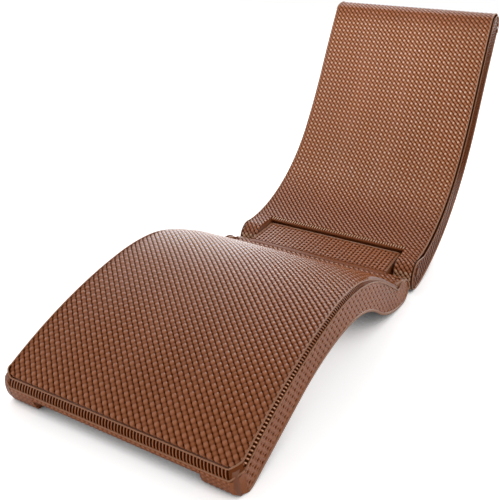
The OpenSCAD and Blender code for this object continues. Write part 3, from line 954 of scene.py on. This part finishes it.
ear_start = -NOSE_R * math.radians(NOSE_TURN_DEG)
print("face", round(face.length), "mm, notch edge at", round(float(notch_s), 1))

# %% [markdown]
# The deck's humps carry painted light: painted shade dulls them at the head and the seat end, and a
# painted highlight brightens the noses. That is a factor on the shade, so the geometry stays the same weave
# throughout.

# %% Back deck
BACK_SHADES = (-1.25, 1.55)
HEAD_SHADE, HEAD_SHADE_L, HEAD_FADE = 0.3, 150.0, 90.0
SEAT_SHADE, SEAT_SHADE_S, SEAT_FADE = 0.2, 330.0, 160.0
NOSE_HIGHLIGHT, NOSE_HIGHLIGHT_FROM, NOSE_HIGHLIGHT_TURN = 1.2, 1.0, 0.3
NOSE_COARSE, NOSE_COARSE_L = 0.5, 20.0
EAR_GAP = 1.5
STRIP_RIB, STRIP_RIB_THICK, STRIP_RIB_TALL = 8.4, 0.7, 2.4
STRIP_FLOOR, STRIP_SINK, STRIP_FADE = 0.5, 1.6, 3.0
STRIP_ROUND, STRIP_ROUND_L, STRIP_SHADES = 3.0, 3.5, (-0.8, 1.6)
STRIP_ROWS, STRIP_TUCK = 10, 3.0


def ear_at(s):
    """The face, and before its start the round of the nose."""
    points, normals = face.at(np.maximum(s, 0))
    turn = np.radians(90 + BACK_HEADING) - np.minimum(s, 0) / NOSE_R
    radial = np.stack([np.cos(turn), np.sin(turn)], -1)
    on_nose = (s < 0)[:, None]
    return np.where(on_nose, nose + NOSE_R * radial, points), np.where(on_nose, radial, normals)


def painted_light_at(s):
    """Painted shade at the head and seat end, a painted highlight on the noses; 1 is the middle of the deck.
    """
    at_head = np.clip((s - face.length + HEAD_SHADE_L) / HEAD_FADE, 0, 1)
    at_seat = np.clip((SEAT_SHADE_S - s) / SEAT_FADE, 0, 1)
    at_nose = np.clip(-s / NOSE_R - NOSE_HIGHLIGHT_FROM, 0, NOSE_HIGHLIGHT_TURN)
    return 1 - HEAD_SHADE * at_head - SEAT_SHADE * at_seat + NOSE_HIGHLIGHT * at_nose


def back_place(start, from_y):
    """Places the back rest's deck from a distance start along it and one y."""
    def place(u, v):
        s, y = start + u, from_y + v
        points, normals = across(*ear_at(s), y)
        height = diagonal_weave(s, y) * (1 + NOSE_COARSE * np.clip(-s / NOSE_COARSE_L, 0, 1))
        # The shade is scaled by the painted light along the deck.
        return points, normals, height - DECK_SINK, shade_of(height, *BACK_SHADES) * painted_light_at(s)
    return place


def strip_place(u, v):
    """Bright cross ribs along the notch's edge, which rounds down into the notch."""
    points, normals = across(*face.at(notch_s + u), v - EAR_INNER)
    relief = ribs(v / STRIP_RIB, thick=STRIP_RIB_THICK, tall=STRIP_RIB_TALL)
    height = relief * np.clip(u / STRIP_FADE, 0, 1) + STRIP_FLOOR
    rounded_down = STRIP_ROUND * np.clip(1 - u / STRIP_ROUND_L, 0, 1) ** 2
    return points, normals, height - STRIP_SINK - rounded_down, shade_of(height, *STRIP_SHADES)


skin("back_deck_low", (BACK_SPLIT_S - deck_from, 2 * DECK_EDGE), back_place(deck_from, -DECK_EDGE), BACK,
     join=1)
skin("back_deck_high", (face.length - BACK_SPLIT_S, 2 * DECK_EDGE), back_place(BACK_SPLIT_S, -DECK_EDGE),
     BACK, join=0)
ear_inner = EAR_INNER + EAR_GAP
for side_name, side in SIDES:
    skin("back_ear_" + side_name, (deck_from - ear_start, DECK_EDGE - ear_inner),
         back_place(ear_start, lower_y(side, ear_inner, DECK_EDGE)), BACK)
skin("back_notch_ribs", (STRIP_L, 2 * EAR_INNER), strip_place, BACK,
     counts=(STRIP_ROWS, round(2 * EAR_INNER / RIB_STEP)), tuck=STRIP_TUCK)

# %% [markdown]
# The back rest's rims and walls.
# The lower bead lies level with the deck at the ears and drops below it further up, where a narrow band
# of ribs shows. The walls are ruled like the leg rest's, from the bead to the rear face. Their pairs are
# listed where the lines face each other: at the nose's end, halfway and where the head curls.

# %% Back rim lines
BAND_FULL_S, BAND_SAMPLES, LIP_SAMPLES, NOSE_SAMPLES = 60.0, 300, 200, 40
BACK_RIM_SINK, BACK_RIM_NEAR, BACK_RIM_DROP = 0.5, 2.0, 15.5
BACK_PAIRS = ((0, 0), (0.11, 0.03), (0.48, 0.52), (0.85, 0.93), (1, 1))
REAR_LIP_SINK = 2.0
NOSE_WALL_SINK, NOSE_WALL_DEG = 3.5, (262, 90)
NOSE_WALL_R = NOSE_R - NOSE_WALL_SINK
HEAD_RUN = sum(share for share, turn in HEAD_SHARES)
band_s = np.linspace(0, back.length + HEAD_RUN * head_t, BAND_SAMPLES)


def back_rim(level):
    """Side-view points of a rim line: level 0 at the deck's edge, 1 at the lower bead."""
    widening = (BACK_RIM_DROP - BACK_RIM_NEAR) * np.clip(band_s / BAND_FULL_S, 0, 1)
    drop = BACK_RIM_SINK + level * (BACK_RIM_NEAR + widening)
    line2 = back.beside(np.minimum(band_s, back.length), -drop)
    curl_t = head_t - drop[-1]
    curl = Path(line2[-1], math.degrees(back.headings[-1]), rows_of(HEAD_SHARES, curl_t))
    over = band_s > back.length
    line2[over] = curl.at((band_s[over] - back.length) * curl_t / head_t)[0]
    return line2


edge2, bead2 = back_rim(0.0), back_rim(1.0)
back_top = Line(np.concatenate([disc_points(nose, NOSE_WALL_R, *NOSE_WALL_DEG, NOSE_SAMPLES), bead2[2:]]))
back_low = Line(rear.beside(np.linspace(0, rear.length, LIP_SAMPLES), REAR_LIP_SINK))
print("back wall", round(back_top.length), "mm along its top")

# %% [markdown]
# On the back rest the ribs fade toward the lower bead, so that only short stubs show under the deck's
# edge, as in the photograph, and painted shade darkens the band there. Walls, beads and lips are made
# like those of the leg rest.

# %% Back walls, beads and ribs
BACK_BAND_SHADES, BACK_BAND_ROWS = (-1.1, 1.3), 9
BACK_RIB_SHARE, BACK_BAND_SINK, BACK_BAND_DIP = 0.7, 0.4, 3.0
BACK_BEAD_R = 2.0
FADE_START, FADE_RATE, BACK_BAND_DEEP_SHADE = 1.4, 2.0, 0.2


def back_band_place(edge3, bead3, away):
    """Places the ribs between a deck edge and a lower bead."""
    def place(u, v):
        points = edge3.at(u) * (1 - v[:, None]) + edge3.at(u, bead3) * v[:, None]
        fade = np.clip(FADE_START - FADE_RATE * v, 0, 1)
        relief = ribs(u / SIDE_RIB) * fade
        height = relief * BACK_RIB_SHARE - BACK_BAND_SINK - BACK_BAND_DIP * (1 - fade)
        # Painted shade: the band's colour darkens toward the lower bead, where it dips in.
        shade = shade_of(relief, *BACK_BAND_SHADES) * (BACK_BAND_DEEP_SHADE + (1 - BACK_BAND_DEEP_SHADE) * fade)
        return points, np.tile(away, (len(u), 1)), height, shade
    return place


for side_name, side in SIDES:
    away = np.array([0.0, side, 0.0])
    ruled_side("back_side_" + side_name, back_top, back_low, BACK_PAIRS, BACK, side, BACK_WALL_PAINTED_SHADES)
    tube("back_side_bead_" + side_name, line_at(back_top.points, side * (HALF - BEAD_R)), BEAD_R, away, BACK)
    lip = line_at(back_low.points, side * (HALF - LIP_R - LIP_INSET))
    tube("back_rear_lip_" + side_name, lip, LIP_R, away, BACK)
    edge3 = Line(line_at(edge2, side * (DECK_HALF - RIM_INSET)))
    bead3 = line_at(bead2, side * (HALF - BEAD_R))
    skin("back_rim_ribs_" + side_name, (edge3.length, 1.0), back_band_place(edge3, bead3, away), BACK,
         counts=(round(edge3.length / LONG_RIB_STEP), BACK_BAND_ROWS), tuck=0)
    tube("back_rim_upper_bead_" + side_name, edge3.points, BACK_BEAD_R, away, BACK)

# %% [markdown]
# The back rest's rear face and core.
# The rear isn't in the photograph. It gets the same weave, since the moulding is woven on each face that
# shows. The core behind the skins has a middle part with the notch and an outer part with each ear.

# %% Back rear and core
REAR_FROM_W, REAR_STEP = 24.0, 2.8
CORE_CUT_W, CORE_FLUSH_W, CORE_FULL_W = 30.0, 20.0, 60.0
LIP_BACK, LIP_T = 24.0, 6.0
NOTCH_TOP_IN, NOTCH_TOP_OUT, NOTCH_TURN_SHORT = 2.0, 1.0, 3.0
CORE_SAMPLES, CORE_ROUND_SAMPLES, CORE_END_GAP = 100, 30, 1.0
NOSE_CORE_DEG = (268, 92)


def rear_face_place(u, v):
    """Places the rear face, from where it leaves the nose."""
    points2, normals2 = rear_face.at(u + REAR_FROM_W)
    points, normals = across(points2, -normals2, v - DECK_EDGE)
    height = diagonal_weave(u, v)
    return points, normals, height - DECK_SINK, shade_of(height)


skin("back_rear_face", (rear_face.length - REAR_FROM_W, 2 * DECK_EDGE), rear_face_place, BACK, step=REAR_STEP)


def back_core(notched):
    """Side outline of the back rest's core, with the notch or with the nose."""
    top = face.beside(np.linspace(deck_from if notched else 0, face.length, CORE_SAMPLES), -CORE_SINK)
    w = np.linspace(CORE_CUT_W if notched else 0, rear_face.length - CORE_END_GAP, CORE_SAMPLES)
    low = rear_face.beside(w, np.interp(w, [CORE_FLUSH_W, CORE_FULL_W], [0.0, CORE_SINK]))
    if notched:
        lip_deg = -math.degrees(math.asin((axis[1] - LIP_TOP) / notch_r))
        edge_x = face.at(notch_s)[0][0] + NOTCH_TOP_IN
        top_deg = math.degrees(math.acos((edge_x - axis[0]) / (notch_r + NOTCH_TOP_OUT)))
        hollow = disc_points(axis, notch_r, lip_deg, top_deg - NOTCH_TURN_SHORT, CORE_ROUND_SAMPLES)
        lip_x = axis[0] - LIP_BACK
        near = np.concatenate([[[lip_x, LIP_TOP - LIP_T], [lip_x, LIP_TOP]], hollow])
    else:
        near = disc_points(nose, NOSE_WALL_R, *NOSE_CORE_DEG, CORE_ROUND_SAMPLES)
    return np.concatenate([near, top, low[::-1]])


prism("back_core_middle", back_core(True), -EAR_INNER, EAR_INNER, BACK)
for side_name, side in SIDES:
    prism("back_core_" + side_name, back_core(False), side * EAR_INNER, side * CORE_HALF, BACK)

# %% [markdown]
# The hardware.
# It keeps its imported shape, because turned and moulded small parts are exact there, and only gets its
# own materials: turned stainless pins and screws, nylon bushes, black rubber pads and seals, and drain
# plugs of a darker polypropylene. Each has a fine grain, and only its base values differ.

# %% Hardware
GRAIN_STRENGTH, GRAIN_ROUGH_SPREAD = 0.3, 0.06
GRAIN_DEEP_MM = 0.03


def plain_material(name, colour, roughness, metallic=0.0, ior=1.5, grain_mm=0.6):
    """A plain surface with a fine grain."""
    material, tree = new_material(name)
    place = add(tree, "ShaderNodeTexCoord")
    grain = add(tree, "ShaderNodeTexNoise", {"Scale": 1 / (grain_mm * MM), "Detail": 2.0},
                {"Vector": place.outputs["Object"]})
    bump = add(tree, "ShaderNodeBump", {"Strength": GRAIN_STRENGTH, "Distance": GRAIN_DEEP_MM * MM},
               {"Height": grain.outputs["Fac"]})
    rough = add(tree, "ShaderNodeMapRange",
                {"To Min": roughness - GRAIN_ROUGH_SPREAD, "To Max": roughness + GRAIN_ROUGH_SPREAD},
                {"Value": grain.outputs["Fac"]})
    shader = add(tree, "ShaderNodeBsdfPrincipled",
                 {"Base Color": linear(colour), "Metallic": metallic, "IOR": ior},
                 {"Roughness": rough.outputs[0], "Normal": bump.outputs["Normal"]})
    close_with(tree, shader)
    return material


# Turned stainless steel: bright grey, with fine, blurred highlights.
steel = plain_material("stainless_steel_turned", "#b9bcc0", 0.3, metallic=1.0, grain_mm=0.3)
# Black rubber: nearly no highlight.
rubber = plain_material("black_rubber", "#1a1a1b", 0.75, ior=1.52, grain_mm=0.5)
# Natural nylon: off-white and a little waxy.
nylon = plain_material("natural_nylon", "#d9d4c6", 0.45, ior=1.53)
# Polypropylene: a dull brown, darker than the mouldings.
plug_plastic = plain_material("dark_polypropylene", "#35251c", 0.5, ior=1.49)
HARDWARE = (("pad_screws", steel), ("hinge_pin", steel), ("bush", nylon), ("pad", rubber), ("seal", rubber),
            ("plug", plug_plastic), ("pin_cap", smooth_hdpe))
nodes = {record["node"] for record in frame["record"]["subparts"]}
for node in [piece for piece in bpy.data.objects if piece.type == "MESH" and piece.name in nodes]:
    found = [made for part, made in HARDWARE if part in node.name]
    if found:
        for slot in node.material_slots:
            slot.material = found[0]
        print(node.name, found[0].name)

# %% [markdown]
# The camera.
# The photograph was taken from in front of the foot end's right, a little above the head. The camera is
# set as a photographer would note it: the eye in millimetres from the foot, the pan away from straight
# along the lounger, the tilt down, a small roll, and a focal length in pixels. They were found from the
# lounger's straight rims and evenly spaced ribs. Lens shift puts the picture's middle where it was.

# %% Camera
PHOTO_W_PX, PHOTO_H_PX = 499.0, 500.0
FOCAL_PX, CENTRE_PX = 719.5, (265.0, 175.0)
EYE = np.array([-983.5, -829.6, 975.2])
PAN_DEG, TILT_DEG, ROLL_DEG = 27.78, 16.95, 2.8
SENSOR = 36.0
CLIP_M = (0.05, 50.0)

camera = bpy.data.objects.new("camera", bpy.data.cameras.new("camera"))
bpy.context.scene.collection.objects.link(camera)
camera.data.sensor_width = SENSOR
camera.data.lens = FOCAL_PX / PHOTO_H_PX * SENSOR
camera.data.shift_x = (PHOTO_W_PX / 2 - CENTRE_PX[0]) / PHOTO_H_PX
camera.data.shift_y = (CENTRE_PX[1] - PHOTO_H_PX / 2) / PHOTO_H_PX
place = Matrix.Translation(Vector(to_frame(EYE)))
pan = Matrix.Rotation(math.radians(PAN_DEG - 90), 4, "Z")
tilt = Matrix.Rotation(math.radians(90 - TILT_DEG), 4, "X")
roll = Matrix.Rotation(math.radians(ROLL_DEG), 4, "Z")
camera.matrix_world = place @ pan @ tilt @ roll
camera.data.clip_start, camera.data.clip_end = CLIP_M
bpy.context.scene.camera = camera
print("lens", round(camera.data.lens, 2))

# %% [markdown]
# The floor.
# The photograph's ground is plain white with a soft shadow close to the lounger. More light would bleach
# the plastic, so the floor is an ordinary pale floor for the lamps, and only rays from the camera see it
# lifted to white. Near the pads ambient occlusion holds the lift back and darkens the floor's colour: a
# painted contact shadow.
# The plastic mirrors the lifted white behind the lounger's left; on the far right it mirrors painted dark.

# %% Floor
FLOOR_HALF_M = 12.0
FLOOR_GLOW, FLOOR_CONTACT_SHADE, FLOOR_PALE = 0.58, 0.1, 0.88
CONTACT_REACH_M, GLOW_SKY, PALE_SKY = 0.16, (0.05, 0.55), (0.15, 0.4)
GLOW_FROM_Y, GLOW_FADE = 0.2, 0.4
MIRRORED_SHADE_FROM_X, MIRRORED_SHADE_X_FADE, MIRRORED_SHADE_TO_Y, MIRRORED_SHADE_FULL_Y = 1.2, 0.5, 0.3, -0.2
MIRRORED_SHADE_HEX = "#4a4a4a"


def stage_material():
    """White where the camera sees it, a pale floor for the lamps, and a painted dark reflection far right."""
    material, tree = new_material("studio_white")
    open_sky = add(tree, "ShaderNodeAmbientOcclusion", {"samples": 8, "Distance": CONTACT_REACH_M})
    lit = add(tree, "ShaderNodeMapRange",
              # Painted contact shadow: near the lounger ambient occlusion dims the white glow and darkens the
              # floor's colour.
              {"From Min": GLOW_SKY[0], "From Max": GLOW_SKY[1], "To Max": FLOOR_GLOW},
              {"Value": open_sky.outputs["AO"]})
    pale = add(tree, "ShaderNodeMapRange",
               {"From Min": PALE_SKY[0], "From Max": PALE_SKY[1], "To Min": FLOOR_CONTACT_SHADE, "To Max": FLOOR_PALE},
               {"Value": open_sky.outputs["AO"]})
    glow = add(tree, "ShaderNodeEmission", links={"Strength": lit.outputs[0]})
    diffuse = add(tree, "ShaderNodeBsdfDiffuse", links={"Color": pale.outputs[0]})
    lifted = add(tree, "ShaderNodeAddShader", links={0: diffuse.outputs[0], 1: glow.outputs[0]})
    path = add(tree, "ShaderNodeLightPath")
    place = add(tree, "ShaderNodeTexCoord")
    spot = add(tree, "ShaderNodeSeparateXYZ", links={"Vector": place.outputs["Object"]})
    behind = add(tree, "ShaderNodeMapRange", {"From Min": GLOW_FROM_Y, "From Max": GLOW_FROM_Y + GLOW_FADE},
                 {"Value": spot.outputs["Y"]})
    mirrored = add(tree, "ShaderNodeMath", {"operation": "MULTIPLY"},
                   {0: path.outputs["Is Glossy Ray"], 1: behind.outputs[0]})
    seen = add(tree, "ShaderNodeMath", {"operation": "MAXIMUM"},
               {0: path.outputs["Is Camera Ray"], 1: mirrored.outputs[0]})
    # Painted dark reflection: far right of the lounger, glossy rays alone see the floor grey.
    far = add(tree, "ShaderNodeMapRange", {"From Min": MIRRORED_SHADE_FROM_X, "From Max": MIRRORED_SHADE_FROM_X + MIRRORED_SHADE_X_FADE},
              {"Value": spot.outputs["X"]})
    right = add(tree, "ShaderNodeMapRange", {"From Min": MIRRORED_SHADE_TO_Y, "From Max": MIRRORED_SHADE_FULL_Y},
                {"Value": spot.outputs["Y"]})
    far_right = add(tree, "ShaderNodeMath", {"operation": "MULTIPLY"},
                    {0: far.outputs[0], 1: right.outputs[0]})
    mirrored_shade_mask = add(tree, "ShaderNodeMath", {"operation": "MULTIPLY"},
                  {0: far_right.outputs[0], 1: path.outputs["Is Glossy Ray"]})
    mirrored_shade = add(tree, "ShaderNodeBsdfDiffuse", {"Color": linear(MIRRORED_SHADE_HEX)})
    ground = add(tree, "ShaderNodeMixShader",
                 links={"Fac": mirrored_shade_mask.outputs[0], 1: diffuse.outputs[0], 2: mirrored_shade.outputs[0]})
    shader = add(tree, "ShaderNodeMixShader",
                 links={"Fac": seen.outputs[0], 1: ground.outputs[0], 2: lifted.outputs[0]})
    close_with(tree, shader)
    return material


bm = bmesh.new()
bmesh.ops.create_grid(bm, x_segments=1, y_segments=1, size=FLOOR_HALF_M)
floor_mesh = bpy.data.meshes.new("floor")
bm.to_mesh(floor_mesh)
bm.free()
floor = bpy.data.objects.new("floor", floor_mesh)
floor.data.materials.append(stage_material())
bpy.context.scene.collection.objects.link(floor)
print("floor", 2 * FLOOR_HALF_M, "m square")

# %% [markdown]
# The light.
# A studio is brightest near the horizon and has a large bright backdrop behind the object, which gives
# the plastic its broad sheen. The world does that with a ramp on the ray's height and a gain toward the
# backdrop. A small lamp above the seat lights the back rest, and a large one above gives soft shadows.

# %% World and lamps
SKY = ((0.0, 1.8), (0.25, 1.3), (0.6, 0.55), (1.0, 0.42))
SKY_MAX = SKY[0][1]
BACKDROP_AT, BACKDROP_GAIN = (0.85, 0.53, 0.0), 2.2
BACKDROP_FROM, BACKDROP_FULL = 0.3, 0.9


def studio_world():
    """Soft light that is brightest near the horizon and toward the backdrop; the camera sees white."""
    world = bpy.data.worlds.new("studio")
    world.use_nodes = True
    tree = world.node_tree
    tree.nodes.clear()
    toward = add(tree, "ShaderNodeTexCoord").outputs["Generated"]
    direction = add(tree, "ShaderNodeSeparateXYZ", links={"Vector": toward})
    ramp = add(tree, "ShaderNodeValToRGB", links={"Fac": direction.outputs["Z"]})
    fill_ramp(ramp, [(height, [level / SKY_MAX] * 3 + [1.0]) for height, level in SKY])
    backdrop = add(tree, "ShaderNodeVectorMath", {"operation": "DOT_PRODUCT"}, {0: toward})
    backdrop.inputs[1].default_value = BACKDROP_AT
    strength = add(tree, "ShaderNodeMapRange",
                   {"From Min": BACKDROP_FROM, "From Max": BACKDROP_FULL,
                    "To Min": SKY_MAX, "To Max": SKY_MAX * BACKDROP_GAIN},
                   {"Value": backdrop.outputs["Value"]})
    sky = add(tree, "ShaderNodeBackground",
              links={"Color": ramp.outputs["Color"], "Strength": strength.outputs[0]})
    white = add(tree, "ShaderNodeBackground", {"Color": linear("#ffffff")})
    path = add(tree, "ShaderNodeLightPath")
    shader = add(tree, "ShaderNodeMixShader",
                 links={"Fac": path.outputs["Is Camera Ray"], 1: sky.outputs[0], 2: white.outputs[0]})
    add(tree, "ShaderNodeOutputWorld", links={"Surface": shader.outputs[0]})
    return world


def softbox(name, place, aim, size, watts, spread_deg=180):
    """A square area lamp, in metres, with a grid that keeps its light within the spread."""
    lamp = bpy.data.objects.new(name, bpy.data.lights.new(name, "AREA"))
    lamp.data.shape, lamp.data.size, lamp.data.energy = "SQUARE", size, watts
    lamp.data.spread = math.radians(spread_deg)
    lamp.location = place
    lamp.rotation_euler = (Vector(aim) - Vector(place)).to_track_quat("-Z", "Y").to_euler()
    bpy.context.scene.collection.objects.link(lamp)
    print(name, watts, "W")


bpy.context.scene.world = studio_world()
softbox("back_light", place=(-0.04, 0.4, 1.48), aim=(0.7, 0, 0.6), size=0.1, watts=0.9, spread_deg=80)
softbox("top_light", place=(1.3, 0.7, 2.3), aim=(-0.2, 0, 0.3), size=1.2, watts=14.0)
bpy.context.scene.view_settings.view_transform = "Standard"
